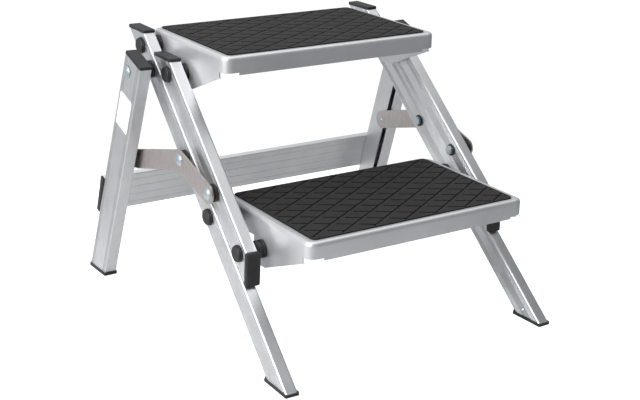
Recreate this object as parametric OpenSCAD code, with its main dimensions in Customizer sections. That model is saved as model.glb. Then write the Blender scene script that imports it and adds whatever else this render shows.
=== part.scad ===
// Folding double entry step of aluminium, standing ready for use.
// Front is -Y, the floor is Z = 0 and the origin is the middle of the footprint.
// Each side has a rear rail that stands on the front foot, a front rail that
// lies against it, and a rear leg. Two treads and a brace plate join the rails
// as parallelogram links, so the whole frame folds flat when the treads rise.

/* [Treads] */
// Height of the lower tread above the floor, and of the upper above the lower
riser = 215; // [205:1:225]
// Width of the rubber mat
mat_width = 365; // [330:1:420]
// Depth of the rubber mat from front to back
mat_depth = 225; // [205:1:240]
// Thickness of the rubber mat
mat_thick = 2.4; // [2.1:0.1:3]
// Metal border in front of the mat
front_border = 13; // [9:0.5:18]
// Metal border beside the mat
side_border = 15.5; // [12:0.5:20]
// Metal border behind the mat
rear_border = 6.5; // [6:0.5:12]
// Thickness of the pressed sheet
sheet = 2; // [1.5:0.1:2.5]
// Radius of the tread's bent edges
edge_radius = 6; // [5:0.5:6.5]
// Radius of the tread's corners seen from above
corner_radius = 15; // [13:0.5:20]
// Depth of the recess that takes the mat
recess = 2; // [1.5:0.1:2]
// Height of the front lip
lip_height = 29; // [24:1:34]
// How much shorter the lip is at its two ends
lip_relief = 4; // [2:0.5:6]
// Depth of the side flange behind the front corner
flange_start = 33; // [30:1:38]

/* [Rails] */
// Lean of the rails from the vertical
rail_angle = 48.4; // [47:0.1:50]
// Depth of the rail profile, seen from the side
rail_depth = 38.5; // [34:0.5:42]
// Thickness of the rail profile, seen from the front
rail_thick = 20; // [18:0.5:24]
// Wall of the rail profile
rail_wall = 1.8; // [1.4:0.1:2.4]
// Radius of the rail's long edges
rail_radius = 3; // [2:0.5:4]
// Slit between the front rail and the rear rail at rest
rail_slit = 0.5; // [0.4:0.1:1.2]
// Distance along the rail between a tread's two pivots
pivot_stagger = 86.4; // [82:0.2:90]
// Height of a rail's top above its uppermost pivot
rail_top = 20; // [17:0.5:22]
// Reach of the front rail in front of its lowest pivot
rail_nose = 21; // [18:0.5:24]
// Depth of a fine groove in the extrusions
groove_depth = 0.5; // [0.3:0.1:0.8]
// Width of a fine groove in the extrusions
groove_width = 0.9; // [0.6:0.1:1.1]
// Distance between neighbouring grooves
groove_pitch = 2; // [1.8:0.1:2.4]
// Grooves in each band
grooves = 4; // [2:1:4]

/* [Rear legs] */
// Lean of the rear legs from the vertical
leg_angle = 19; // [18.5:0.1:19.5]
// Outward lean of the rear legs
leg_splay = 1.74; // [1.4:0.02:1.76]
// Depth of the leg profile, seen from the side
leg_depth = 54.5; // [50:0.5:60]
// Thickness of the leg profile, seen from the front
leg_thick = 21; // [19:0.5:24]
// Wall of the leg profile
leg_wall = 2; // [1.6:0.1:2.4]
// Distance of the leg's pivot from its rear face
leg_pivot_back = 16; // [14.5:0.5:18]
// Height of the leg's top above its pivot
leg_top = 24.6; // [22:0.2:28]
// Distance of the leg's pivot below the upper tread's pivot, along the rail
leg_drop = 47.2; // [46:0.1:48.4]
// Width of the slot in the leg's inner face
slot_width = 11; // [10.4:0.1:11.6]
// Metal left in front of the slot
slot_lip = 3.1; // [2.8:0.1:3.4]

/* [Braces] */
// Width of the brace plate
brace_width = 32; // [30:0.5:36]
// Thickness of the brace plate
brace_thick = 3; // [2.5:0.1:3]
// Distance of the brace's pivot below the upper tread's pivot, along the rail
brace_drop = 218.5; // [217.5:0.1:219.5]
// Distance of the slider below the leg's pivot, along the leg
slider_drop = 154; // [152:0.1:156]
// How far behind the slot's middle the slider stands
slider_shift = 2.9; // [2.7:0.1:3]
// Free play of the slider in the slot, to each side
slider_play = 3.2; // [3.1:0.1:3.3]
// Length of the slider block
slider_length = 26; // [20:1:32]

/* [Crossbar] */
// Height of the crossbar
bar_height = 70; // [60:1:80]
// Thickness of the crossbar
bar_thick = 10; // [9:0.5:14]
// Distance of the crossbar's upper edge below the leg's pivot, along the leg
bar_drop = 219.5; // [212:0.5:226]
// Wall of the crossbar profile
bar_wall = 1.8; // [1.4:0.1:2.4]

/* [Fittings] */
// Diameter of the pivot bolts
bolt_d = 8; // [7:0.5:9]
// Running clearance on the radius of a pivot
pivot_fit = 0.05; // [0.03:0.01:0.08]
// Clearance on the radius of the links' second pivot
link_fit = 0.15; // [0.12:0.01:0.2]
// Thickness of one spacer ring
ring_thick = 10; // [9:0.5:11]
// Diameter of a spacer ring
ring_d = 28; // [26:0.5:30]
// Diameter of a round bolt head
head_d = 20; // [18:0.5:22]
// Height of a round bolt head
head_h = 4; // [3:0.2:4.2]
// Height of a nut cap
nut_cap_h = 6.2; // [5.8:0.1:6.3]
// Diameter of a nut cap
nut_cap_d = 26; // [24:0.5:28]
// Gap between a straight fitting and the leaning rail that it seats on
seat_gap = 0.5; // [0.48:0.01:0.6]
// Thickness of the plastic end caps
cap_thick = 4.8; // [4:0.2:6]
// Overhang of the plastic end caps
cap_over = 0.5; // [0.3:0.1:0.6]
// Thickness of the blocks on the lower ends of the front rails
end_thick = 7; // [5:0.5:9]
// Overhang of those blocks to each side
end_over = 2; // [1:0.5:3]
// Thickness of the plastic feet
foot_thick = 5; // [4:0.5:7]
// Overhang of the plastic feet
foot_over = 1.8; // [1:0.1:2.5]
// Depth of the plugs inside the profiles
plug_depth = 14; // [10:1:20]
// Clearance round a plug
plug_gap = 0.3; // [0.2:0.05:0.5]

/* [Hidden] */
$fn = 64;

aluminium = "#c3c7ca";
pressed = "#d3d6d9";
steel = "#b3aca8";
zinc = "#b9c9d2";
plastic = "#202122";
rubber = "#39373a";

// Longer than anything that a cut has to reach
far = 1500;
// Sideways lean of both rails: one ring more between rail and tread at each tread
pivot_span = riser / cos(rail_angle);
rail_splay = atan(ring_thick / pivot_span);
// Distance between the middle lines of the two rails
rail_pitch = rail_depth + rail_slit;

// Pivots, with Y counted from the tip of the front foot
pivot_below_mat = 20.5;
pivot_from_mat_rear = 20.5;
upper_z = 2 * riser - pivot_below_mat;
upper_y = foot_over + (upper_z - foot_thick) * tan(rail_angle) + rail_depth / 2 / cos(rail_angle);
link_y = -(pivot_stagger * sin(rail_angle) + rail_pitch * cos(rail_angle));
link_z = -pivot_stagger * cos(rail_angle) + rail_pitch * sin(rail_angle);
leg_y = upper_y - leg_drop * sin(rail_angle);
leg_z = upper_z - leg_drop * cos(rail_angle);
brace_y = upper_y - brace_drop * sin(rail_angle);
brace_z = upper_z - brace_drop * cos(rail_angle);

// The slot and the slider, in the leg's own frame
leg_front = leg_depth - leg_pivot_back;
slot_middle = leg_front - slot_lip - slot_width / 2;
slider_front = slot_middle - slider_shift;
slider_y = leg_y - slider_front * cos(leg_angle) + slider_drop * sin(leg_angle);
slider_z = leg_z - slider_front * sin(leg_angle) - slider_drop * cos(leg_angle);

// The footprint
leg_sole_rear = leg_y + leg_pivot_back / cos(leg_angle) + (leg_z - foot_thick) * tan(leg_angle);
total_depth = leg_sole_rear + foot_over;

// Distances from the middle plane
tread_half = mat_width / 2 + side_border;
rail_in = tread_half + ring_thick + seat_gap;
rail_mid = rail_in + rail_thick / 2 / cos(rail_splay);
rail_out = rail_in + rail_thick / cos(rail_splay);
brace_in = rail_out + brace_drop * tan(rail_splay) + seat_gap + ring_thick;
brace_out = brace_in + brace_thick;
leg_in = rail_out + leg_drop * tan(rail_splay) + seat_gap + 2 * ring_thick + seat_gap;
leg_mid = leg_in + leg_thick / 2 / cos(leg_splay);
leg_out = leg_in + leg_thick / cos(leg_splay);
bar_middle = bar_drop + bar_height / 2;
bar_half = leg_in + bar_middle * tan(leg_splay) + leg_thick - 1.5;

// Lengths of bolts, from the bearing face under the head
nut_h = 4.6;
nut_flats = 13;
thread_over = 0.4;
tread_top_bolt = sheet + ring_thick + 2 * seat_gap + rail_out - rail_in + nut_h + thread_over;

// Tread, measured from its rear pivot
tread_front = pivot_from_mat_rear - mat_depth - front_border;
tread_rear = pivot_from_mat_rear + rear_border;
mat_front = pivot_from_mat_rear - mat_depth;
tab_below = 29.5;
tab_behind = 26;
tab_radius = 14;
pivot_margin = 15.5;

// Frames: where things stand

module on_right() children();
module on_left() mirror([1, 0, 0]) children();
module both_sides() {
    on_left() children();
    on_right() children();
}
// Y counted from the tip of the front foot
module footprint() translate([0, -total_depth / 2, 0]) children();
// Origin at the upper tread's rear pivot, -Z down the rear rail, -Y to its front
module rail_frame() footprint() translate([0, upper_y, upper_z]) rotate([-rail_angle, 0, 0]) children();
// Origin at the leg's pivot, -Z down the leg, -Y to its front face
module leg_frame() footprint() translate([0, leg_y, leg_z]) rotate([leg_angle, 0, 0]) children();
// The leaning profile of the right leg
module leg_lean() translate([leg_mid, 0, 0]) rotate([0, -leg_splay, 0]) children();
// Origin at the rear pivot of one tread
module tread_frame(level) footprint()
    translate([0, upper_y - level * pivot_span * sin(rail_angle), upper_z - level * riser]) children();
// A shape drawn upwards is laid along +X, starting at x
module along_x(x) translate([x, 0, 0]) rotate([0, 90, 0]) children();

// Flat shapes

module rounded_square(w, l, r) {
    square([w - 2 * r, l], center = true);
    square([w, l - 2 * r], center = true);
    for (x = [-1, 1], y = [-1, 1])
        translate([x * (w / 2 - r), y * (l / 2 - r)]) circle(r);
}
// Two bands of fine grooves on both wide faces, beside a smooth middle
module groove_bands(thick, middle, sides) {
    for (face = sides, band = [-1, 1], i = [0 : grooves - 1])
        translate([face * thick / 2, band * (middle + i * groove_pitch)])
            square([2 * groove_depth, groove_width], center = true);
}
module rail_section() difference() {
    rounded_square(rail_thick, rail_depth, rail_radius);
    rounded_square(rail_thick - 2 * rail_wall, rail_depth - 2 * rail_wall, rail_radius / 2);
    groove_bands(rail_thick, rail_depth / 2 - rail_radius - 2 - (grooves - 1) * groove_pitch, [-1, 1]);
}
// The leg's section: a box with a slot in its inner face, near the front
module leg_section() difference() {
    translate([0, leg_pivot_back - leg_depth / 2]) rounded_square(leg_thick, leg_depth, rail_radius / 2);
    translate([0, leg_pivot_back - leg_depth / 2])
        rounded_square(leg_thick - 2 * leg_wall, leg_depth - 2 * leg_wall, 0.6);
    translate([-leg_thick / 2, -slot_middle]) square([3 * leg_wall, slot_width], center = true);
    translate([0, leg_pivot_back - leg_depth / 2])
        groove_bands(leg_thick, leg_depth / 2 - rail_radius - 1 - (grooves - 1) * groove_pitch, [1]);
}
module chamfered(w, h, c)
    polygon([[-w / 2, 0], [w / 2, 0], [w / 2, h - c], [w / 2 - c, h], [c - w / 2, h], [-w / 2, h - c]]);
// A bar with round ends, from the origin along X
module round_bar(l, w) {
    circle(d = w);
    translate([l, 0]) circle(d = w);
    translate([0, -w / 2]) square([l, w]);
}
// Two round bars that meet at the origin
module bent_bar(a, b, w) for (end = [a, b])
    rotate(atan2(end[1], end[0])) round_bar(norm(end), w);

// Moulded plastic

// A block with round corners and a chamfer round its top
module moulded_block(w, l, h, r, c) intersection() {
    linear_extrude(h) rounded_square(w, l, r);
    rotate([90, 0, 0]) linear_extrude(l + 2, center = true) chamfered(w, h, c);
    rotate([90, 0, 90]) linear_extrude(w + 2, center = true) chamfered(l, h, c);
}
module rail_plug_section() rounded_square(
    rail_thick - 2 * rail_wall - 2 * plug_gap, rail_depth - 2 * rail_wall - 2 * plug_gap, rail_radius / 2);

// Fasteners, each drawn upwards from the face that it seats on

module dome(d, h) {
    // Sphere through the rim and the crown of the head
    r = (d * d / 4 + h * h) / (2 * h);
    intersection() {
        translate([0, 0, h - r]) sphere(r);
        cylinder(d = d, h = h + 1);
    }
}
// Round head with its shank below, square-edged rim of half a millimetre
module round_bolt(length, d = bolt_d, head = head_d, rise = head_h) {
    cylinder(d = head, h = 0.6);
    translate([0, 0, 0.6]) dome(head, rise - 0.6);
    translate([0, 0, -length]) cylinder(d = d, h = length + 0.1);
}
module hex_nut(h = nut_h, d = bolt_d) difference() {
    cylinder(d = nut_flats / cos(30), h = h, $fn = 6);
    translate([0, 0, -1]) cylinder(d = d + 2 * pivot_fit, h = h + 2);
}
module spacer_ring() difference() {
    rotate_extrude() polygon([
        [0, 0], [ring_d / 2 - 0.6, 0], [ring_d / 2, 0.6], [ring_d / 2, ring_thick * 0.55],
        [ring_d / 2 - 1.2, ring_thick * 0.6], [ring_d / 2 - 1.2, ring_thick - 0.4],
        [ring_d / 2 - 1.6, ring_thick], [0, ring_thick]]);
    translate([0, 0, -1]) cylinder(d = bolt_d + 2 * pivot_fit, h = ring_thick + 2);
}
// Cup over a nut: smooth outer disc on a fluted collar
module nut_cap() difference() {
    rotate_extrude() polygon([
        [0, 0], [nut_cap_d / 2, 0], [nut_cap_d / 2, 2.4], [nut_cap_d / 2 - 1, 3],
        [nut_cap_d / 2 - 1, nut_cap_h - 1], [nut_cap_d / 2 - 2, nut_cap_h], [0, nut_cap_h]]);
    for (i = [0 : 15]) rotate(i * 22.5)
        translate([nut_cap_d / 2 + 0.6, 0, -1]) cylinder(r = 1.3, h = 3.6, $fn = 16);
    translate([0, 0, -1]) cylinder(d = nut_flats / cos(30) + 0.6, h = nut_h + thread_over + 1.2);
}
module toothed_washer() difference() {
    union() {
        cylinder(d = 17, h = 1.6);
        for (i = [0 : 11]) rotate(i * 30) translate([8.5, 0, 0]) cylinder(r = 1.5, h = 1.6, $fn = 16);
    }
    translate([0, 0, -1]) cylinder(d = bolt_d + 2 * pivot_fit, h = 4);
}
module pan_screw(length, d, head, rise) {
    difference() {
        union() {
            cylinder(d = head, h = 0.5);
            translate([0, 0, 0.5]) dome(head, rise - 0.5);
        }
        // Cross recess
        for (a = [0, 90]) rotate(a) translate([0, 0, rise]) cube([head * 0.5, 0.9, 1.6], center = true);
    }
    translate([0, 0, -length]) cylinder(d = d, h = length + 0.1);
}

// Rails

// The right rail's profile, leaning out, with its middle line through a pivot at y, z
module rail_profile(y, z, above, below) translate([rail_mid, y, z]) rotate([0, -rail_splay, 0])
    translate([0, 0, -below]) linear_extrude(above + below) children();
module rail_bore(y, z) translate([rail_mid, y, z]) rotate([0, 90, 0])
    cylinder(d = bolt_d + 2 * pivot_fit, h = 6 * rail_thick, center = true);

rear_rail_long = upper_z / cos(rail_angle) + rail_depth;
module rear_rail() color(aluminium) difference() {
    rail_frame() rail_profile(0, 0, 2 * rail_top + rail_depth, rear_rail_long) rail_section();
    // Level cuts under the cap and over the foot
    translate([0, -far / 2, upper_z + rail_top]) cube([far, far, far]);
    translate([0, -far / 2, foot_thick - far]) cube([far, far, far]);
    rail_frame() for (s = [0, leg_drop, brace_drop, pivot_span]) rail_bore(0, -s);
    front_foot_screw_place() cylinder(d = foot_screw_d, h = 4 * rail_wall, center = true);
}
front_rail_long = pivot_span + rail_depth;
module front_rail() color(aluminium) difference() {
    rail_frame() rail_profile(-rail_pitch, -pivot_stagger, 2 * rail_top + rail_depth, front_rail_long)
        rail_section();
    // Level cut under the cap, upright cut behind the end cap
    translate([0, -far / 2, upper_z + link_z + rail_top]) cube([far, far, far]);
    footprint() translate([0, front_rail_nose_y - far, -far / 2]) cube([far, far, far]);
    rail_frame() for (s = [0, brace_drop, pivot_span]) rail_bore(-rail_pitch, -pivot_stagger - s);
}
front_rail_nose_y = upper_y + link_y - pivot_span * sin(rail_angle) - rail_nose;

// Level cap on a rail: the rail's middle line passes through y, z at its pivot
module level_cap(y, z) {
    rise = rail_top / cos(rail_angle);
    turn = atan(tan(rail_splay) * sin(rail_angle));
    footprint() translate([
        rail_mid - rise * tan(rail_splay), y + rail_top * tan(rail_angle), z + rail_top])
        rotate(turn) moulded_block(
            rail_thick + 2 * cap_over, rail_depth / cos(rail_angle) + 2 * cap_over, cap_thick, 3, 1);
}
module cap_plug(y, z, level, depth) difference() {
    rail_frame() rail_profile(y, z, 2 * rail_top + rail_depth, depth) rail_plug_section();
    translate([0, -far / 2, level]) cube([far, far, far]);
}
module rear_rail_cap() color(plastic) {
    level_cap(upper_y, upper_z);
    cap_plug(0, 0, upper_z + rail_top, bolt_plug_reach);
}
module front_rail_cap() color(plastic) {
    level_cap(upper_y + link_y, upper_z + link_z);
    cap_plug(-rail_pitch, -pivot_stagger, upper_z + link_z + rail_top, bolt_plug_reach);
}
// A plug stops short of the pivot bolt
bolt_plug_reach = -bolt_d / 2 - 2;

// Upright cap on the lower end of a front rail
module front_rail_end() color(plastic) {
    along = pivot_span + rail_nose / sin(rail_angle);
    middle_z = upper_z + link_z - along * cos(rail_angle);
    lean = atan(tan(rail_splay) * cos(rail_angle));
    footprint() translate([rail_mid + along * tan(rail_splay), front_rail_nose_y, middle_z])
        rotate([90, 0, 0]) rotate(lean) moulded_block(
            rail_thick + 2 * end_over, rail_depth / sin(rail_angle) + 2 * cap_over, end_thick, 4, 1.6);
    intersection() {
        rail_frame() rail_profile(-rail_pitch, -pivot_stagger, -pivot_span - bolt_d / 2 - 2, front_rail_long)
            rail_plug_section();
        footprint() translate([0, front_rail_nose_y, 0]) cube([far, plug_depth, far]);
    }
}

// Feet

// A flat foot with cross grooves below and a lip that turns up at one end
module foot_plate(w, l, lip_end) {
    groove = 4;
    difference() {
        translate([0, 0, foot_thick]) mirror([0, 0, 1]) moulded_block(w, l, foot_thick, 3, 0.8);
        for (y = [-l / 2 + groove : groove : l / 2 - groove / 2])
            translate([0, y, 0]) cube([w + 2, groove / 3, 1.6], center = true);
    }
    lip = 2;
    translate([0, lip_end * (l / 2 - lip / 2), foot_thick])
        linear_extrude(2.6) rounded_square(w - 5, lip, 0.9);
}
module front_foot() color(plastic) {
    turn = atan(tan(rail_splay) * sin(rail_angle));
    drop = upper_z - foot_thick;
    footprint() translate([
        rail_mid + drop / cos(rail_angle) * tan(rail_splay), upper_y - drop * tan(rail_angle), 0])
        rotate(turn) translate([0, foot_shift, 0]) foot_plate(
            rail_thick + 2 * foot_over, rail_depth / cos(rail_angle) + 2 * foot_over + 2 * foot_shift, 1);
    difference() {
        rail_frame() rail_profile(0, 0, -upper_z / cos(rail_angle) + front_foot_plug, rear_rail_long)
            rail_plug_section();
        translate([0, -far / 2, foot_thick - 1.5 - far]) cube([far, far, far]);
        front_foot_screw_place() translate([0, 0, -far / 2]) cylinder(d = foot_screw_d, h = far);
    }
}
// The foot's rear edge stands further out than its front edge
foot_shift = 1.2;
front_foot_plug = 34;
foot_screw_d = 4;
foot_screw_up = 22;
// On the rail's inner face, drawn towards the middle of the step
module front_foot_screw_place() {
    s = upper_z / cos(rail_angle) - foot_screw_up;
    rail_frame() translate([rail_in + s * tan(rail_splay) - 0.25, 0, -s]) rotate([0, -90, 0]) children();
}
module rear_foot() color(plastic) {
    turn = -atan(tan(leg_splay) * sin(leg_angle));
    drop = leg_z - foot_thick;
    middle = leg_pivot_back - leg_depth / 2;
    footprint() translate([
        leg_mid + drop / cos(leg_angle) * tan(leg_splay), leg_y + middle / cos(leg_angle) + drop * tan(leg_angle), 0])
        rotate(turn) foot_plate(
            leg_thick + 2 * foot_over, leg_depth / cos(leg_angle) + 2 * foot_over, 1);
    difference() {
        leg_frame() leg_lean() translate([0, 0, -far]) linear_extrude(far - leg_z / cos(leg_angle) + rear_foot_plug)
            leg_plug_section();
        translate([0, -far / 2, foot_thick - 1.5 - far]) cube([far, far, far]);
        rear_foot_screw_place() translate([0, 0, -far / 2]) cylinder(d = foot_screw_d, h = far);
    }
}
rear_foot_plug = 24;
module leg_plug_section() translate([0, leg_pivot_back - leg_depth / 2]) rounded_square(
    leg_thick - 2 * leg_wall - 2 * plug_gap, leg_depth - 2 * leg_wall - 2 * plug_gap, 0.6);
module rear_foot_screw_place() {
    s = leg_z / cos(leg_angle) - foot_screw_up / 2 - foot_thick;
    leg_frame() translate([leg_in + s * tan(leg_splay) - 0.25, 0, -s]) rotate([0, -90, 0]) children();
}
module foot_screw() color(zinc) pan_screw(9, foot_screw_d - 0.1, 8, 2.4);

// Rear legs

module rear_leg() color(aluminium) difference() {
    leg_frame() leg_lean() translate([0, 0, -leg_z / cos(leg_angle) - leg_depth])
        linear_extrude(leg_z / cos(leg_angle) + leg_depth + leg_top) leg_section();
    translate([0, -far / 2, foot_thick - far]) cube([far, far, far]);
    leg_frame() translate([leg_mid, 0, 0]) rotate([0, 90, 0])
        cylinder(d = bolt_d + 2 * pivot_fit, h = 3 * leg_thick, center = true);
    leg_frame() for (z = bar_rivet_drops) translate([bar_rivet_x, leg_pivot_back, -z]) rotate([90, 0, 0])
        cylinder(d = rivet_d, h = 4 * leg_wall, center = true);
    rear_foot_screw_place() cylinder(d = foot_screw_d, h = 4 * leg_wall, center = true);
}
module leg_cap() color(plastic) leg_frame() leg_lean() translate([0, 0, leg_top]) {
    translate([0, leg_pivot_back - leg_depth / 2, 0]) moulded_block(
        leg_thick + 2 * cap_over, leg_depth + 2 * cap_over, cap_thick, 2.5, 1);
    translate([0, 0, -plug_depth]) linear_extrude(plug_depth) leg_plug_section();
}

// Crossbar

rivet_d = 5;
rivet_inset = 16;
bar_rivet_drops = [bar_drop + rivet_inset, bar_drop + bar_height - rivet_inset];
bar_rivet_x = leg_mid + bar_middle * tan(leg_splay);
module bar_section(gap = 0) translate([leg_pivot_back + bar_thick / 2, 0]) difference() {
    rounded_square(bar_thick, bar_height, 1.5);
    rounded_square(bar_thick - 2 * bar_wall, bar_height - 2 * bar_wall, 0.8);
    // Faint lines along both wide faces
    for (face = [-1, 1], y = [-0.34, -0.12, 0.12, 0.34])
        translate([face * bar_thick / 2, y * bar_height]) square([0.6, 0.8], center = true);
}
module crossbar() color(aluminium) difference() {
    leg_frame() translate([-bar_half, 0, -bar_middle]) rotate([90, 0, 90])
        linear_extrude(2 * bar_half) bar_section();
    both_sides() leg_frame() for (z = bar_rivet_drops)
        translate([bar_rivet_x, leg_pivot_back + bar_thick / 2, -z]) rotate([90, 0, 0])
            cylinder(d = rivet_d, h = 2 * bar_thick, center = true);
}
module crossbar_cap() color(plastic) leg_frame() translate([bar_half, 0, -bar_middle]) {
    translate([0, leg_pivot_back + bar_thick / 2, 0]) rotate([0, 90, 0])
        moulded_block(bar_height, bar_thick, 3, 1.5, 0.6);
    translate([-4, leg_pivot_back + bar_thick / 2, 0]) rotate([0, 90, 0]) linear_extrude(4)
        rounded_square(bar_height - 2 * bar_wall - 2 * plug_gap, bar_thick - 2 * bar_wall - 2 * plug_gap, 0.8);
}
module crossbar_rivet(z) color(zinc) leg_frame()
    translate([bar_rivet_x, leg_pivot_back + bar_thick, -z]) rotate([-90, 0, 0])
        round_bolt(bar_thick + leg_wall + 3, rivet_d - 0.1, 10, 2.2);

// Treads

module round_topped(w, h, r) {
    translate([-w / 2, 0]) square([w, h - r]);
    translate([r - w / 2, 0]) square([w - 2 * r, h]);
    for (x = [-1, 1]) translate([x * (w / 2 - r), h - r]) circle(r);
}
// A block with every upper edge rounded
module soft_slab(w, l, h, corner, edge) intersection() {
    linear_extrude(h) rounded_square(w, l, corner);
    union() {
        rotate([90, 0, 0]) linear_extrude(l - 2 * corner, center = true) round_topped(w, h, edge);
        rotate([90, 0, 90]) linear_extrude(w - 2 * corner, center = true) round_topped(l, h, edge);
        for (x = [-1, 1], y = [-1, 1]) translate([x * (w / 2 - corner), y * (l / 2 - corner), 0])
            rotate_extrude() intersection() {
                round_topped(2 * corner, h, edge);
                square([corner, h]);
            }
    }
}
// Side view of the tread: y towards the back, z up, from the rear pivot
module flange_outline() {
    top = pivot_below_mat + 5;
    notch = mat_front - 2;
    tab_bottom = link_z - tab_below;
    tab_rear = link_y + tab_behind;
    slope_end = [link_y - 6, tab_bottom];
    translate([tread_front - 5, pivot_below_mat - lip_height]) square([notch - tread_front + 8, lip_height + 5]);
    polygon([
        [notch + 1.6, top], [notch + 1.6, pivot_below_mat - flange_start], slope_end,
        [tab_rear - tab_radius, tab_bottom], [tab_rear - tab_radius, top]]);
    translate([tab_rear - tab_radius, tab_bottom + tab_radius]) circle(tab_radius);
    translate([tab_rear - tab_radius - 1, tab_bottom + tab_radius])
        square([tab_radius + 1, top - tab_bottom - tab_radius]);
    translate([tab_rear - tab_radius, -pivot_margin]) square([tread_rear - tab_rear + tab_radius + 5, top + pivot_margin]);
}
module tread_shell() {
    skirt = pivot_below_mat - link_z + tab_below;
    l = tread_rear - tread_front;
    translate([0, (tread_front + tread_rear) / 2, pivot_below_mat - skirt]) difference() {
        soft_slab(2 * tread_half, l, skirt, corner_radius, edge_radius);
        translate([0, 0, -1]) soft_slab(
            2 * (tread_half - sheet), l - 2 * sheet, skirt + 1 - sheet, corner_radius - sheet, edge_radius - sheet);
    }
}
module tread() color(pressed) {
    middle = mat_front + mat_depth / 2;
    difference() {
        intersection() {
            tread_shell();
            translate([-far / 2, 0, 0]) rotate([90, 0, 90]) linear_extrude(far) flange_outline();
        }
        // Recess for the mat
        translate([0, middle, pivot_below_mat - recess]) linear_extrude(recess + 1)
            rounded_square(mat_width + 0.8, mat_depth + 0.8, 8.4);
        // The lip is shorter at both ends
        for (x = [-1, 1]) translate([x * (tread_half - 11), tread_front + 2, pivot_below_mat - lip_height])
            cube([30, 30, 2 * lip_relief], center = true);
        // Rear lip
        translate([14 - tread_half, tread_rear - 4 * sheet, -far / 2 + pivot_below_mat - lip_height])
            cube([2 * tread_half - 28, 5 * sheet, far / 2]);
        // Pivots
        translate([0, 0, 0]) rotate([0, 90, 0])
            cylinder(d = bolt_d + 2 * pivot_fit, h = 2 * tread_half + 10, center = true);
        translate([0, link_y, link_z]) rotate([0, 90, 0])
            cylinder(d = bolt_d + 2 * link_fit, h = 2 * tread_half + 10, center = true);
    }
    // Floor of the recess
    translate([0, middle, pivot_below_mat - recess - sheet]) linear_extrude(sheet)
        rounded_square(mat_width + 5, mat_depth + 5, 10);
}
module mat() color(rubber) translate([0, mat_front + mat_depth / 2, pivot_below_mat - recess])
    moulded_block(mat_width, mat_depth, mat_thick, 8, 0.6);

// Pivots of the treads: a bolt from inside the flange, rings, rail, nut and cap

module at_tread_pivots(link) for (level = [0, 1])
    tread_frame(level) translate([0, link * link_y, link * link_z]) tread_pivot_side(level) children();
module tread_pivot_side(level) {
    $level = level;
    both_sides() children();
}
nut_seat = rail_out + seat_gap;
module tread_bolt() color(zinc) along_x(tread_half - sheet) rotate([180, 0, 0])
    round_bolt(tread_top_bolt + $level * ring_thick, bolt_d, 18, 3.6);
module tread_nut() color(zinc) along_x(nut_seat + $level * ring_thick) rotate(30) hex_nut();
module tread_nut_cap() color(plastic) along_x(nut_seat + $level * ring_thick) nut_cap();
module tread_rings() color(plastic) for (i = [0 : $level])
    along_x(tread_half + i * ring_thick) spacer_ring();

// Pivots of the braces

module at_brace_pivot(link) both_sides() footprint()
    translate([0, brace_y + link * link_y, brace_z + link * link_z]) children();
brace_nut_seat = rail_in + brace_drop * tan(rail_splay) - seat_gap;
washer_thick = 1.6;
module brace_bolt() color(zinc) along_x(brace_out)
    round_bolt(brace_out - brace_nut_seat + washer_thick + nut_h + thread_over);
module brace_washer() color(plastic) along_x(brace_nut_seat) rotate([180, 0, 0]) toothed_washer();
module brace_nut() color(zinc) along_x(brace_nut_seat - washer_thick) rotate([180, 0, 0]) hex_nut();
module brace_ring() color(plastic) along_x(brace_in - ring_thick) spacer_ring();

// Brace plate, with a bend at its middle pivot

module brace() color(steel) {
    arm = [slider_y - brace_y, slider_z - brace_z];
    link = [link_y, link_z];
    footprint() translate([brace_in, brace_y, brace_z]) rotate([90, 0, 90]) linear_extrude(brace_thick)
        difference() {
            bent_bar(arm, link, brace_width);
            circle(d = bolt_d + 2 * pivot_fit);
            translate(link) circle(d = bolt_d + 2 * link_fit);
            translate(arm) circle(d = slider_screw_d);
        }
}
slider_screw_d = 5;
slider_gap = 0.3;
module slider_screw() color(zinc) footprint() translate([0, slider_y, slider_z])
    along_x(brace_in) rotate([180, 0, 0]) pan_screw(brace_thick, slider_screw_d - 0.1, 9, 2.6);

// Slider block that runs in the leg's slot: a pad, a neck and a head behind the slot
module slider() color(plastic) leg_frame() {
    face = leg_in + slider_drop * tan(leg_splay);
    neck = slot_width - 2 * slider_play;
    // The leg leans, so its wall moves outward past the slider while the step folds
    reach = norm([leg_y - brace_y, leg_z - brace_z]) + norm([slider_y - brace_y, slider_z - brace_z]);
    wall_shift = (reach - slider_drop + slider_length / 2) * tan(leg_splay);
    head_gap = leg_wall + wall_shift + 0.3;
    head_front = slot_lip + slot_width / 2 - leg_wall - slider_play - 0.1;
    head_rear = slot_width / 2 + 4;
    difference() {
        translate([0, -slider_front, -slider_drop]) {
            translate([brace_out + slider_gap, 0, 0]) rotate([0, 90, 0])
                linear_extrude(face - brace_out - 2 * slider_gap - 0.5)
                    rounded_square(slider_length, slot_width + 6, 4);
            translate([face - 3, 0, 0]) rotate([0, 90, 0])
                linear_extrude(head_gap + 5) rounded_square(slider_length - 2, neck, 2);
            translate([face + head_gap, (head_rear - head_front) / 2, 0]) rotate([0, 90, 0])
                linear_extrude(3) rounded_square(slider_length, head_front + head_rear, 2);
        }
        translate([brace_out, -slider_front, -slider_drop]) rotate([0, 90, 0])
            cylinder(d = slider_screw_d, h = 5);
    }
}

// Pivots of the legs

module at_leg_pivot() both_sides() footprint() translate([0, leg_y, leg_z]) children();
leg_ring_start = rail_out + leg_drop * tan(rail_splay) + seat_gap;
leg_nut_seat = rail_in + leg_drop * tan(rail_splay) - seat_gap;
module leg_pivot_bolt() color(zinc) along_x(leg_out + seat_gap)
    round_bolt(leg_out + seat_gap - leg_nut_seat + nut_h + thread_over);
module leg_pivot_nut() color(zinc) along_x(leg_nut_seat) rotate([180, 0, 0]) hex_nut();
module leg_rings() color(plastic) for (i = [0, 1]) along_x(leg_ring_start + i * ring_thick) spacer_ring();

// The nodes

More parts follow.
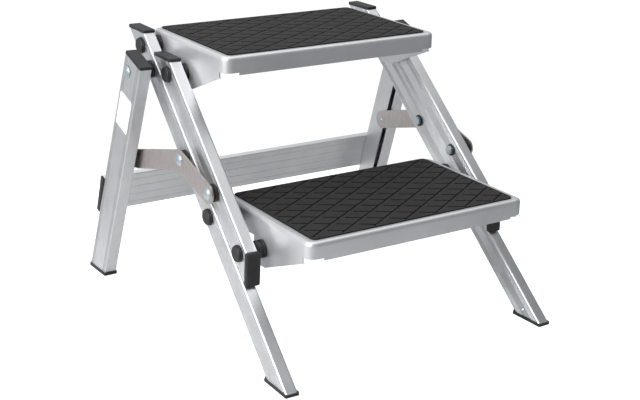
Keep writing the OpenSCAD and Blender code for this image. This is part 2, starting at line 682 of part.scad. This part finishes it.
module rear_rail_left() on_left() rear_rail();
module rear_rail_right() on_right() rear_rail();
module rear_rail_cap_left() on_left() rear_rail_cap();
module rear_rail_cap_right() on_right() rear_rail_cap();
module front_foot_left() on_left() front_foot();
module front_foot_right() on_right() front_foot();
module front_foot_screws() both_sides() front_foot_screw_place() foot_screw();
module tread_bolts_rear() at_tread_pivots(0) tread_bolt();
module tread_nuts_rear() at_tread_pivots(0) tread_nut();
module nut_caps_rear() at_tread_pivots(0) tread_nut_cap();
module tread_spacers_rear() at_tread_pivots(0) tread_rings();
module brace_bolts_rear() at_brace_pivot(0) brace_bolt();
module brace_nuts_rear() at_brace_pivot(0) brace_nut();
module brace_washers_rear() at_brace_pivot(0) brace_washer();
module brace_spacers_rear() at_brace_pivot(0) brace_ring();
module leg_pivot_bolts() at_leg_pivot() leg_pivot_bolt();
module leg_pivot_nuts() at_leg_pivot() leg_pivot_nut();
module leg_spacers() at_leg_pivot() leg_rings();
module tread_top() tread_frame(0) tread();
module mat_top() tread_frame(0) mat();
module tread_bottom() tread_frame(1) tread();
module mat_bottom() tread_frame(1) mat();
module front_rail_left() on_left() front_rail();
module front_rail_right() on_right() front_rail();
module front_rail_cap_left() on_left() front_rail_cap();
module front_rail_cap_right() on_right() front_rail_cap();
module front_rail_end_left() on_left() front_rail_end();
module front_rail_end_right() on_right() front_rail_end();
module tread_bolts_front() at_tread_pivots(1) tread_bolt();
module tread_nuts_front() at_tread_pivots(1) tread_nut();
module nut_caps_front() at_tread_pivots(1) tread_nut_cap();
module tread_spacers_front() at_tread_pivots(1) tread_rings();
module brace_bolts_front() at_brace_pivot(1) brace_bolt();
module brace_nuts_front() at_brace_pivot(1) brace_nut();
module brace_washers_front() at_brace_pivot(1) brace_washer();
module brace_spacers_front() at_brace_pivot(1) brace_ring();
module brace_left() on_left() brace();
module brace_right() on_right() brace();
module slider_screws() both_sides() slider_screw();
module slider_left() on_left() slider();
module slider_right() on_right() slider();
module rear_leg_left() on_left() rear_leg();
module rear_leg_right() on_right() rear_leg();
module leg_cap_left() on_left() leg_cap();
module leg_cap_right() on_right() leg_cap();
module rear_foot_left() on_left() rear_foot();
module rear_foot_right() on_right() rear_foot();
module rear_foot_screws() both_sides() rear_foot_screw_place() foot_screw();
module crossbar_cap_left() on_left() crossbar_cap();
module crossbar_cap_right() on_right() crossbar_cap();
module crossbar_rivets() both_sides() for (z = bar_rivet_drops) crossbar_rivet(z);

rear_rail_left();
rear_rail_right();
rear_rail_cap_left();
rear_rail_cap_right();
front_foot_left();
front_foot_right();
front_foot_screws();
tread_bolts_rear();
tread_nuts_rear();
nut_caps_rear();
tread_spacers_rear();
brace_bolts_rear();
brace_nuts_rear();
brace_washers_rear();
brace_spacers_rear();
leg_pivot_bolts();
leg_pivot_nuts();
leg_spacers();
tread_top();
mat_top();
tread_bottom();
mat_bottom();
front_rail_left();
front_rail_right();
front_rail_cap_left();
front_rail_cap_right();
front_rail_end_left();
front_rail_end_right();
tread_bolts_front();
tread_nuts_front();
nut_caps_front();
tread_spacers_front();
brace_bolts_front();
brace_nuts_front();
brace_washers_front();
brace_spacers_front();
brace_left();
brace_right();
slider_screws();
slider_left();
slider_right();
rear_leg_left();
rear_leg_right();
leg_cap_left();
leg_cap_right();
rear_foot_left();
rear_foot_right();
rear_foot_screws();
crossbar();
crossbar_cap_left();
crossbar_cap_right();
crossbar_rivets();
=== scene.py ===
# %% [markdown]
# # A folding caravan entry step
#
# The step is loaded as a frame of rigid CAD parts. This script dresses it: it
# gives each part a finish, models the rubber mats with their grooves and the
# blank label, and adds the camera, the floor and the lights.
# Everything is in metres, with the ground at Z = 0 and the front towards -Y.

# %% Load the frame
from math import cos, floor, radians, sin

import bmesh
import bpy
from mathutils import Matrix, Vector


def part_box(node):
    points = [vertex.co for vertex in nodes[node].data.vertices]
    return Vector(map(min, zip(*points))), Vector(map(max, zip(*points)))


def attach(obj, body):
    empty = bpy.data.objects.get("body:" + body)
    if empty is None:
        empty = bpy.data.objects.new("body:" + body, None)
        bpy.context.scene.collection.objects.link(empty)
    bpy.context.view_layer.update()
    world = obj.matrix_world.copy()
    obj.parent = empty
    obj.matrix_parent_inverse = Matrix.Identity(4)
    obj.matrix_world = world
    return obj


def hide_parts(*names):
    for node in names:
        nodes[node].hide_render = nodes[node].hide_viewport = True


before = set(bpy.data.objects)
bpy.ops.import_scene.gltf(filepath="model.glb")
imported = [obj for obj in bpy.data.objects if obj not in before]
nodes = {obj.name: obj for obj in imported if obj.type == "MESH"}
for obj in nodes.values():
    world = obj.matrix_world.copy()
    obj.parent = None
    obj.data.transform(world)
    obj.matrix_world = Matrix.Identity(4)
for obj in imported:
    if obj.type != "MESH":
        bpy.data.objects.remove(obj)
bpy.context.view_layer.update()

# %% [markdown]
# ## The camera
#
# The photograph was taken from the front left, from about twice the step's
# height, with a lens of about 73 mm. A camera could be aimed with a Track To
# constraint, but the slight roll would be lost. So its matrix is built from
# three angles: the turn about Z, the downward tilt and the roll. The columns are
# the camera's right, up and backward directions, followed by its place.

# %% Camera
image_width, focal_pixels, sensor = 640, 1306.13, 36
camera_place = Vector((-1.1232, -1.6940, 0.8788))
turn, tilt, roll = radians(-33.498), radians(19.394), radians(1.418)
ahead = Vector((-sin(turn) * cos(tilt), cos(turn) * cos(tilt), -sin(tilt)))
level = Vector((cos(turn), sin(turn), 0))
rise = level.cross(ahead)
right = level * cos(roll) + rise * sin(roll)
up = rise * cos(roll) - level * sin(roll)
camera = bpy.data.objects.new("photo_camera", bpy.data.cameras.new("photo_camera"))
axes = Matrix((right, up, -ahead)).transposed().to_4x4()
camera.matrix_world = Matrix.Translation(camera_place) @ axes
camera.data.sensor_width = sensor
camera.data.lens = focal_pixels / image_width * sensor
bpy.context.scene.collection.objects.link(camera)
bpy.context.scene.camera = camera
print("camera", camera_place[:], "lens", round(camera.data.lens, 1))

# %% [markdown]
# ## Shader arithmetic
#
# Finishes are easier to read as sums than as boxes and wires. Value wraps one
# output socket, and each operator on it adds one Math node. NodeTree adds any
# other node by its type, settings and inputs, for materials and for the room.
# Finish is the node tree of one material.

# %% Values
class Value:
    def __init__(self, tree, socket):
        self.tree, self.socket = tree, socket

    def math(self, operation, first, second):
        return self.tree.node("ShaderNodeMath", {"operation": operation}, {0: first, 1: second})

    def __add__(self, other):
        return self.math("ADD", self, other)

    def __radd__(self, other):
        return self.math("ADD", other, self)

    def __mul__(self, other):
        return self.math("MULTIPLY", self, other)

    def __rmul__(self, other):
        return self.math("MULTIPLY", other, self)


# %% Node trees
class NodeTree:
    def __init__(self, tree):
        self.nodes, self.links = tree.nodes, tree.links

    def feed(self, socket, value):
        if isinstance(value, Value):
            self.links.new(value.socket, socket)
        else:
            socket.default_value = value

    def node(self, kind, settings, inputs, output=0):
        node = self.nodes.new(kind)
        for name, setting in settings.items():
            if name == "stops":
                ramp = node.color_ramp.elements
                while len(ramp) < len(setting):
                    ramp.new(1)
                for stop, (place, shade) in zip(ramp, setting):
                    stop.position, stop.color = place, (*shade, 1)
            else:
                setattr(node, name, setting)
        for name, value in inputs.items():
            self.feed(node.inputs[name], value)
        return Value(self, node.outputs[output])


# %% Finishes
class Finish(NodeTree):
    def __init__(self, name, constants):
        self.material = bpy.data.materials.new(name)
        self.material.use_nodes = True
        super().__init__(self.material.node_tree)
        self.shader = self.nodes["Principled BSDF"]
        for socket, value in constants.items():
            self.set(socket, value)

    def set(self, socket, value):
        self.feed(self.shader.inputs[socket], value)

    def place(self, turned=(0, 0, 0), stretch=(1, 1, 1)):
        here = self.node("ShaderNodeTexCoord", {}, {}, "Object")
        return self.node("ShaderNodeMapping", {}, {
            "Vector": here, "Rotation": turned, "Scale": stretch})

    def noise(self, vector, scale, detail=2.0, roughness=0.5):
        return self.node("ShaderNodeTexNoise", {}, {
            "Vector": vector, "Scale": scale, "Detail": detail, "Roughness": roughness})

    def ramp(self, value, *stops):
        return self.node("ShaderNodeValToRGB", {"stops": stops}, {"Fac": value})

    def bump(self, height, depth, strength=1.0):
        return self.node("ShaderNodeBump", {}, {
            "Height": height, "Distance": depth, "Strength": strength})


# %% Wearing a finish
def wear(finish, *names):
    for name in names:
        for slot in nodes[name].material_slots:
            slot.material = finish.material
    print(finish.material.name, "on", len(names), "parts")


# %% [markdown]
# ## Extruded aluminium
#
# An extruded profile has fine die lines along its whole length, and its shine
# is drawn out across them. Noise that is stretched along the profile gives the
# lines. A second, cloudy noise makes the sheen uneven, as handling does. The
# rails, the legs and the crossbar run in different directions, so each gets
# its own copy with the coordinates turned. Anisotropic shine would look alike,
# but a roughness that varies in lines is also kept when the model is exported.

# %% Aluminium finish
along_x, along_z = 0, 2
across_scale, along_scale = 900, 5


def extruded(name, turned, along):
    finish = Finish(name, {"Metallic": 1.0})
    fine = [across_scale, across_scale, across_scale]
    fine[along] = along_scale
    lines = finish.noise(finish.place(turned, fine), 1.0, 3.0, 0.6)
    clouds = finish.noise(finish.place(turned), 22.0, 4.0, 0.6)
    finish.set("Base Color", finish.ramp(
        clouds * 0.6 + lines * 0.4, (0.3, (0.66, 0.67, 0.68)), (0.7, (0.80, 0.81, 0.82))))
    finish.set("Roughness", 0.27 + lines * 0.16 + clouds * 0.08)
    finish.set("Normal", finish.bump(lines, 0.00004, 0.5))
    return finish


# %% Aluminium profiles
rail_angle, leg_angle = radians(48.4), radians(19)
sides = ("left", "right")
rails = [f"{rail}_rail_{side}" for rail in ("rear", "front") for side in sides]
legs = [f"rear_leg_{side}" for side in sides]
wear(extruded("rail_aluminium", (rail_angle, 0, 0), along_z), *rails)
wear(extruded("leg_aluminium", (-leg_angle, 0, 0), along_z), *legs)
wear(extruded("crossbar_aluminium", (-leg_angle, 0, 0), along_x), "crossbar")

# %% [markdown]
# ## Silver treads
#
# The treads are pressed from sheet and coated in light silver. The coat is
# smoother than the extrusions and shows soft gradients round the bent edges,
# with a faint grain like that of sprayed metallic paint. It could be a full
# metal, but the pigment lies in a clear binder, so it is three quarters metal
# under a thin clear coat.

# %% Tread coat
silver = Finish("silver_tread", {"Metallic": 0.75, "Coat Roughness": 0.2})
grain = silver.noise(silver.place(), 2600.0, 2.0)
haze = silver.noise(silver.place(), 12.0, 3.0)
silver.set("Base Color", silver.ramp(haze, (0.3, (0.70, 0.71, 0.73)), (0.75, (0.78, 0.79, 0.81))))
silver.set("Roughness", 0.33 + haze * 0.08 + grain * 0.06)
silver.set("Coat Weight", 0.15 + haze * 0.1)
silver.set("Normal", silver.bump(grain, 0.00002, 0.4))
wear(silver, "tread_top", "tread_bottom")

# %% [markdown]
# ## Steel, zinc and black plastic
#
# The brace plates are rolled stainless steel with a warm, cloudy reflection.
# Bolts, nuts and rivets are zinc plated, which looks bluish. Caps, feet, rings
# and sliders are black plastic with a fine moulded grain, a little smoother in
# places. All of these are small, so noise in the base colour and the roughness
# does more for them than modelled wear would.

# %% Brace plates
stainless = Finish("stainless_plate", {"Metallic": 1.0})
mill = stainless.noise(stainless.place((0, 0, 0), (40, 300, 40)), 1.0, 4.0, 0.65)
spots = stainless.noise(stainless.place(), 160.0, 3.0, 0.7)
stainless.set("Base Color", stainless.ramp(
    mill * 0.6 + spots * 0.4, (0.3, (0.50, 0.45, 0.43)), (0.7, (0.68, 0.63, 0.61))))
stainless.set("Roughness", 0.3 + mill * 0.14 + spots * 0.08)
stainless.set("Normal", stainless.bump(mill, 0.00003, 0.4))
wear(stainless, "brace_left", "brace_right")

# %% Zinc fasteners
zinc = Finish("zinc_plate", {"Metallic": 1.0})
mottle = zinc.noise(zinc.place(), 700.0, 3.0, 0.6)
zinc.set("Base Color", zinc.ramp(mottle, (0.3, (0.52, 0.62, 0.68)), (0.7, (0.70, 0.77, 0.81))))
zinc.set("Roughness", 0.24 + mottle * 0.2)
zinc.set("Normal", zinc.bump(mottle, 0.00004, 0.4))
zinc_words = ("bolts", "brace_nuts", "tread_nuts", "pivot_nuts", "screws", "rivets")
wear(zinc, *(name for name in nodes if any(word in name for word in zinc_words)))

# %% Black plastic
plastic = Finish("moulded_black", {})
pebble = plastic.noise(plastic.place(), 1500.0, 2.0, 0.6)
rubbed = plastic.noise(plastic.place(), 60.0, 3.0)
plastic.set("Base Color", plastic.ramp(
    rubbed, (0.3, (0.010, 0.010, 0.011)), (0.75, (0.020, 0.020, 0.021))))
plastic.set("Roughness", 0.36 + rubbed * 0.16 + pebble * 0.06)
plastic.set("Normal", plastic.bump(pebble, 0.00012, 0.5))
black_words = ("_cap_", "nut_caps", "foot_left", "foot_right", "spacers", "washers", "_end_",
               "slider_left", "slider_right")
wear(plastic, *(name for name in nodes if any(word in name for word in black_words)))

# %% [markdown]
# ## The rubber mats
#
# Each mat is a sheet of rubber with two families of grooves that cross to make
# diamonds. One family runs unbroken. The other is wider, and each of its dashes
# starts at a thin groove and stops short of the next. A bump texture could draw
# them, but real grooves catch the light along their walls. Cutting planes score
# a flat sheet along both sides of every groove, and the faces between them are
# pushed down. The cuts do the measuring, so no list of points is needed. The
# outline is then drawn down in three steps, which leaves a lip over the tread's
# rim and a foot inside its recess.

# %% Groove layout
groove_slope = radians(31.5)
thin_gap, wide_gap = 0.0293, 0.0273
thin_groove, wide_groove = 0.0019, 0.0027
thin_start, wide_start, dash = 0.15, 0.265, 0.76
groove_depth = 0.0013
lines_each_way = 9
border = 0.0035
corner_radius, corner_steps = 0.008, 6
lip_over, lip_rise, lip_thick = 0.0022, 0.0012, 0.0015
thin_normal = Vector((-sin(groove_slope), cos(groove_slope), 0))
wide_normal = Vector((sin(groove_slope), cos(groove_slope), 0))
print("grooves", round(thin_gap * 1000, 1), "and", round(wide_gap * 1000, 1), "mm apart")


# %% Finished pieces
def finished(name, bm):
    mesh = bpy.data.meshes.new(name)
    bm.to_mesh(mesh)
    bm.free()
    piece = bpy.data.objects.new(name, mesh)
    bpy.context.scene.collection.objects.link(piece)
    return piece


# %% Scoring
def score(bm, normal, places, centre):
    for place in places:
        sheet = bm.verts[:] + bm.edges[:] + bm.faces[:]
        bmesh.ops.bisect_plane(bm, geom=sheet, dist=1e-7, plane_co=centre + normal * place,
                               plane_no=normal)


def in_groove(point, centre, half):
    offset = point - centre
    if abs(offset.x) > half.x - border or abs(offset.y) > half.y - border:
        return False
    across = offset.dot(thin_normal) / thin_gap - thin_start
    beside = offset.dot(wide_normal) / wide_gap - wide_start
    thin = abs(across - round(across)) * thin_gap < thin_groove / 2
    wide = abs(beside - round(beside)) * wide_gap < wide_groove / 2
    return thin or (wide and across - floor(across) < dash)


# %% Scored sheet
def vertices(geometry):
    return [part for part in geometry if isinstance(part, bmesh.types.BMVert)]


def scored_sheet(centre, half):
    bm = bmesh.new()
    bmesh.ops.create_grid(bm, x_segments=1, y_segments=1, size=1)
    bmesh.ops.scale(bm, vec=(half.x, half.y, 1), verts=bm.verts)
    bmesh.ops.translate(bm, vec=centre, verts=bm.verts)
    bmesh.ops.bevel(bm, geom=bm.verts[:], affect="VERTICES", offset=corner_radius,
                    offset_type="OFFSET", segments=corner_steps, profile=0.5, material=-1)
    for side in (-1, 1):
        score(bm, Vector((1, 0, 0)), [side * (half.x - border)], centre)
        score(bm, Vector((0, 1, 0)), [side * (half.y - border)], centre)
    for step in range(-lines_each_way, lines_each_way + 1):
        thin = (step + thin_start) * thin_gap
        dash_end = thin + dash * thin_gap
        score(bm, thin_normal, [thin - thin_groove / 2, thin + thin_groove / 2, dash_end], centre)
        wide = (step + wide_start) * wide_gap
        score(bm, wide_normal, [wide - wide_groove / 2, wide + wide_groove / 2], centre)
    return bm


# %% Sinking and drawing down
def sink(bm, floors):
    sunk = bmesh.ops.extrude_face_region(bm, geom=floors)["geom"]
    bmesh.ops.translate(bm, vec=(0, 0, -groove_depth), verts=vertices(sunk))
    bmesh.ops.delete(bm, geom=floors, context="FACES")


def draw_down(bm, centre, size, level):
    outline = [edge for edge in bm.edges if edge.is_boundary]
    ring = vertices(bmesh.ops.extrude_edge_only(bm, edges=outline)["geom"])
    reach_x = max(v.co.x for v in ring) - centre.x
    reach_y = max(v.co.y for v in ring) - centre.y
    for v in ring:
        v.co.x = centre.x + (v.co.x - centre.x) * size.x / reach_x
        v.co.y = centre.y + (v.co.y - centre.y) * size.y / reach_y
        v.co.z = level


# %% Grooved mat
def grooved_mat(name, node, body):
    low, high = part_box(node)
    foot = (high - low) / 2
    half = foot + Vector((lip_over, lip_over, 0))
    centre = (low + high) / 2
    centre.z = high.z + lip_rise
    bm = scored_sheet(centre, half)
    floors = [face for face in bm.faces if in_groove(face.calc_center_median(), centre, half)]
    flat = set(bm.faces)
    sink(bm, floors)
    draw_down(bm, centre, half, centre.z - lip_thick)
    draw_down(bm, centre, foot, centre.z - lip_thick)
    draw_down(bm, centre, foot, low.z)
    bmesh.ops.contextual_create(bm, geom=[edge for edge in bm.edges if edge.is_boundary])
    # The groove floors and walls, the sides and the underside take the second material, which
    # paints shade on them.
    for face in set(bm.faces) - flat:
        face.material_index = 1
    bmesh.ops.remove_doubles(bm, verts=bm.verts, dist=1e-6)
    bmesh.ops.recalc_face_normals(bm, faces=bm.faces)
    open_edges = sum(edge.is_boundary for edge in bm.edges)
    piece = finished(name, bm)
    print(name, len(piece.data.polygons), "faces, open edges", open_edges)
    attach(piece, body)
    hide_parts(node)
    return piece


# %% [markdown]
# ## Rubber finish
#
# Rubber is dark charcoal, dull in the grooves and faintly shiny on the pads
# where shoes polish it. Fine calender streaks run across the sheet, and a
# little dust makes the tone uneven. One material could mix both tones with a
# mask, but the grooves are faces of their own, so each kind of face simply gets
# its own material: the pads the first, the grooves and the sides the second.
# The second is painted shade, a near-black far darker than the rubber, which
# stands in for the shade that falls in the grooves and on the sides.

# %% Rubber pads
pads = Finish("mat_rubber", {"Specular IOR Level": 0.22})
streaks = pads.noise(pads.place((0, 0, 0), (30, 900, 300)), 1.0, 3.0, 0.6)
dust = pads.noise(pads.place(), 18.0, 5.0, 0.6)
specks = pads.noise(pads.place(), 900.0, 2.0, 0.6)
pads.set("Base Color", pads.ramp(
    dust * 0.6 + streaks * 0.4, (0.32, (0.017, 0.016, 0.016)), (0.72, (0.032, 0.030, 0.029))))
pads.set("Roughness", 0.50 + dust * 0.18 + specks * 0.08)
pads.set("Normal", pads.bump(streaks * 0.6 + specks * 0.4, 0.0002, 0.6))

# %% Rubber grooves, painted shade
grooves = Finish("groove_painted_shade", {"Specular IOR Level": 0.05})
groove_shade_mottle = grooves.noise(grooves.place(), 200.0, 2.0)
# Painted shade: a near-black base colour, far darker than the pads, for the grooves and the mat's
# sides. The noise only varies this tone at random.
grooves.set("Base Color", grooves.ramp(
    groove_shade_mottle, (0.3, (0.003, 0.003, 0.003)), (0.7, (0.007, 0.006, 0.006))))
grooves.set("Roughness", 0.8 + groove_shade_mottle * 0.15)

# %% Both mats
mats = [grooved_mat("grooved_mat_top", "mat_top", "top_tread"),
        grooved_mat("grooved_mat_bottom", "mat_bottom", "bottom_tread")]
for mat in mats:
    mat.data.materials.append(pads.material)
    # The second slot holds the painted groove shade.
    mat.data.materials.append(grooves.material)

# %% [markdown]
# ## The blank label
#
# The sticker on the left rear leg is a thin rounded plate. It could be drawn in
# its place, but it is easier to draw it flat at the origin and to carry it there
# with one matrix: a turn that faces it outward, a shift down the leg, then the
# leg's own lean and place. Its face is plain white film with a faint fibre.

# %% Label shape
label_width, label_height, label_thick = 0.0415, 0.060, 0.00025
label_corner, label_steps = 0.003, 4
sideways = radians(1.74)
leg_pivot = Vector((-0.26147, 0.15194, 0.37816))
down_the_leg = Vector((-0.0105, -0.01025, -0.071))
bm = bmesh.new()
bmesh.ops.create_grid(bm, x_segments=1, y_segments=1, size=0.5)
bmesh.ops.scale(bm, vec=(label_width, label_height, 1), verts=bm.verts)
bmesh.ops.bevel(bm, geom=bm.verts[:], affect="VERTICES", offset=label_corner, offset_type="OFFSET",
                segments=label_steps, profile=0.5, material=-1)
film = bmesh.ops.extrude_face_region(bm, geom=bm.faces[:])["geom"]
bmesh.ops.translate(bm, vec=(0, 0, label_thick), verts=vertices(film))
outward = Matrix(((0, 0, -1), (-1, 0, 0), (0, 1, 0))).to_4x4()
lean = Matrix.Rotation(leg_angle, 4, "X") @ Matrix.Rotation(sideways, 4, "Y")
carry = Matrix.Translation(leg_pivot) @ lean @ Matrix.Translation(down_the_leg) @ outward
bmesh.ops.transform(bm, matrix=carry, verts=bm.verts)
bmesh.ops.recalc_face_normals(bm, faces=bm.faces)
label = finished("leg_label", bm)
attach(label, "rear_legs")
print(label.name, len(label.data.polygons), "faces")

# %% Label finish
paper = Finish("blank_label", {"Specular IOR Level": 0.4})
fibre = paper.noise(paper.place(), 400.0, 3.0)
paper.set("Base Color", paper.ramp(fibre, (0.3, (0.84, 0.84, 0.84)), (0.7, (0.90, 0.90, 0.90))))
paper.set("Roughness", 0.35 + fibre * 0.1)
label.data.materials.append(paper.material)
print(paper.material.name, "on", label.name)

# %% [markdown]
# ## Floor, backdrop and light
#
# Metal shows its surroundings more than itself, so the studio does the work.
# The floor is a round pale card that ends a little way past the step. Beyond it
# the room is dark towards the front right and bright behind on the left, like a
# sheet of paper that sweeps up there. Two lamps, large and soft, stand to the
# left and above. An environment picture could do the same, but a few nodes are
# enough and need no file. To the camera itself, floor and room are plain white.

# %% Floor
floor_radius = 0.70
floor_white = (0.76, 0.76, 0.76, 1)
floor_glow = 0.85
bm = bmesh.new()
bmesh.ops.create_circle(bm, cap_ends=True, segments=96, radius=floor_radius)
ground = finished("studio_floor", bm)
pale = Finish("pale_floor", {
    "Base Color": floor_white, "Roughness": 0.9, "Specular IOR Level": 0.1,
    "Emission Strength": floor_glow})
pale.set("Emission Color", pale.node("ShaderNodeLightPath", {}, {}, "Is Camera Ray"))
ground.data.materials.append(pale.material)
print(ground.name, "radius", floor_radius)

# %% Surround
bright_side = (-0.6, 0.8, 0)
fade_from, fade_to = -0.6, 0.95
dim, bright, plain = 0.24, 0.62, 1.05
cool_white, white = (0.96, 0.98, 1.0, 1), (1, 1, 1, 1)
world = bpy.data.worlds.new("studio")
bpy.context.scene.world = world
world.use_nodes = True
room = NodeTree(world.node_tree)
room.nodes.remove(room.nodes["Background"])
way = room.node("ShaderNodeTexCoord", {}, {}, "Generated")
bearing = room.node("ShaderNodeVectorMath", {"operation": "DOT_PRODUCT"}, {
    0: way, 1: bright_side}, "Value")
sweep = room.node("ShaderNodeMapRange", {"interpolation_type": "SMOOTHSTEP"}, {
    "Value": bearing, "From Min": fade_from, "From Max": fade_to, "To Min": dim, "To Max": bright})
lighting = room.node("ShaderNodeBackground", {}, {"Color": cool_white, "Strength": sweep})
sight = room.node("ShaderNodeBackground", {}, {"Color": white, "Strength": plain})
seen = room.node("ShaderNodeLightPath", {}, {}, "Is Camera Ray")
blend = room.node("ShaderNodeMixShader", {}, {0: seen, 1: lighting, 2: sight})
room.feed(room.nodes["World Output"].inputs["Surface"], blend)
print(world.name, "brightest towards", bright_side)


# %% Lamps
middle = Vector((0, 0, 0.25))


def softbox(name, place, size, power):
    lamp = bpy.data.lights.new(name, "AREA")
    lamp.size, lamp.energy = size, power
    box = bpy.data.objects.new(name, lamp)
    aim = middle - Vector(place)
    facing = aim.to_track_quat("-Z", "Y").to_matrix().to_4x4()
    box.matrix_world = Matrix.Translation(place) @ facing
    bpy.context.scene.collection.objects.link(box)
    print(name, power, "W")


softbox("key_left", (-2.6, -0.6, 1.5), 2.2, 85)
softbox("top", (0.2, 0.3, 2.2), 3.0, 24)
bpy.context.scene.view_settings.view_transform = "Standard"
